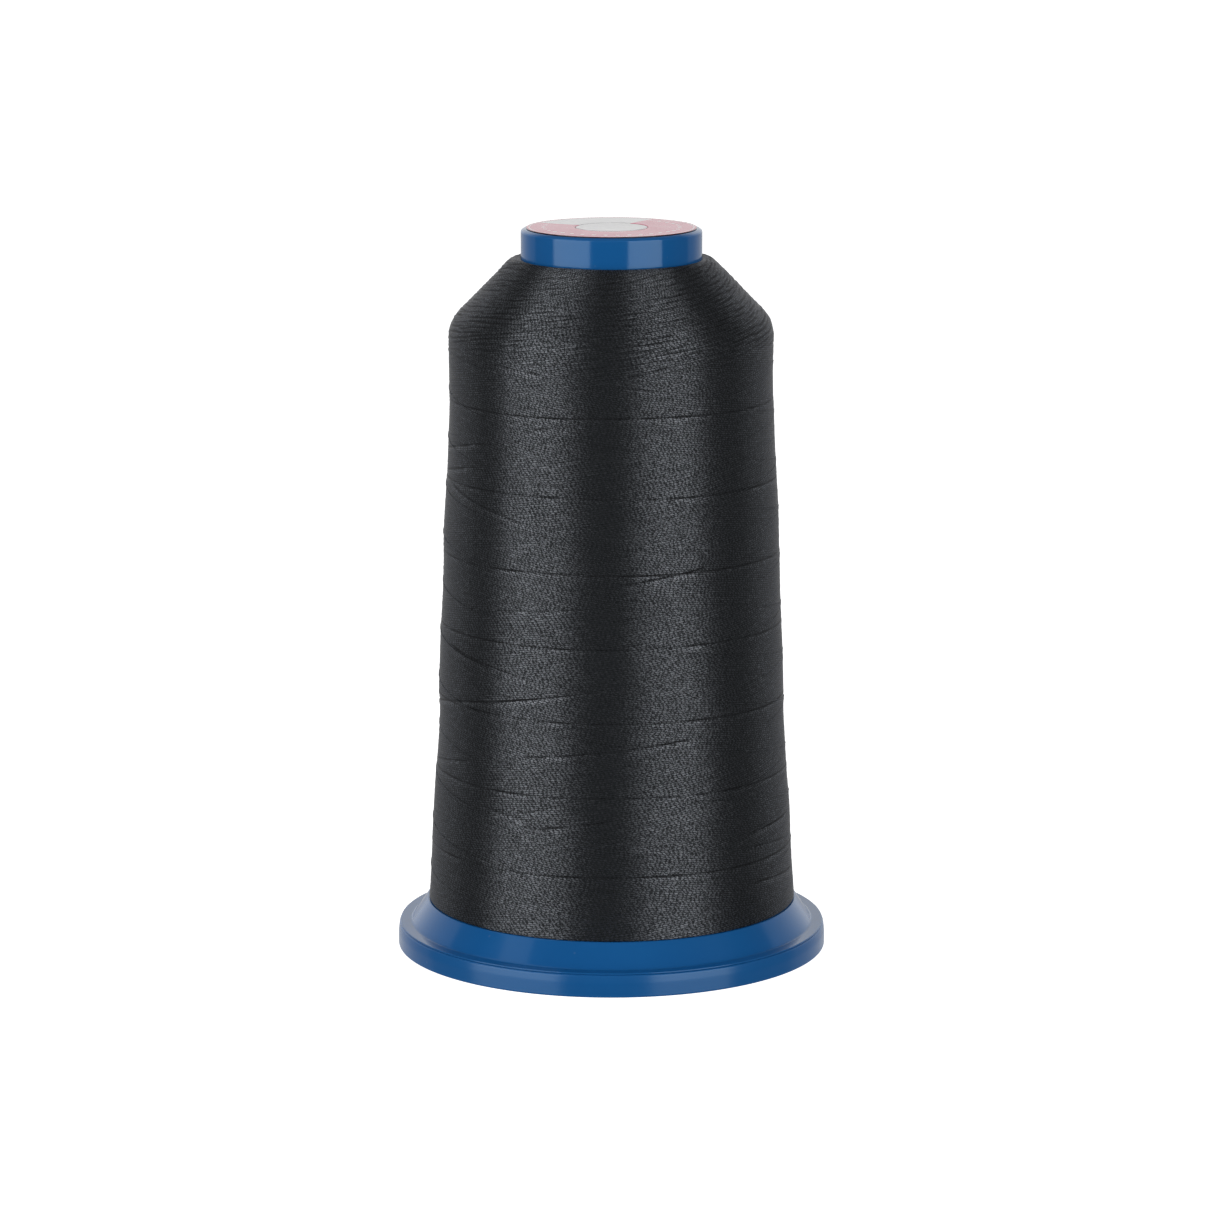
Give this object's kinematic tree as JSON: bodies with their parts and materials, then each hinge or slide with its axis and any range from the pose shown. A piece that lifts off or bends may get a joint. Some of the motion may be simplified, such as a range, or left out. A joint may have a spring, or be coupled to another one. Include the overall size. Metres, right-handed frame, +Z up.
{
  "type": "spool of thread",
  "caption": "King-size spool of cross-wound embroidery thread on a hollow moulded cone with a wide snap base that opens to hold the thread's tail.",
  "frame": {"origin": "middle of the snap base's underside, on the surface that the spool stands on", "axes": "+Z up along the spool's axis, -Y towards the picture's camera, +X to its right"},
  "size_m": [0.0742, 0.0742, 0.125],
  "materials": {
    "blue_plastic": "satin moulded polypropylene, mid blue",
    "black_thread": "trilobal polyester thread, black, soft sheen",
    "label_paper": "coated label paper, red and white, faint gloss",
    "label_centre_paper": "coated label paper, plain white"
  },
  "bodies": {
    "base": {"snap_base": "blue_plastic"},
    "spool": {"spool_body": "blue_plastic", "thread_package": "black_thread", "thread_outer_turns": "black_thread", "top_label": "label_paper", "label_centre": "label_centre_paper"}
  },
  "joints": [
    {"name": "base_slide", "type": "slide", "parent": "base", "child": "spool", "axis": [0, 0, 1], "range_m": [0, 0.003]}
  ]
}
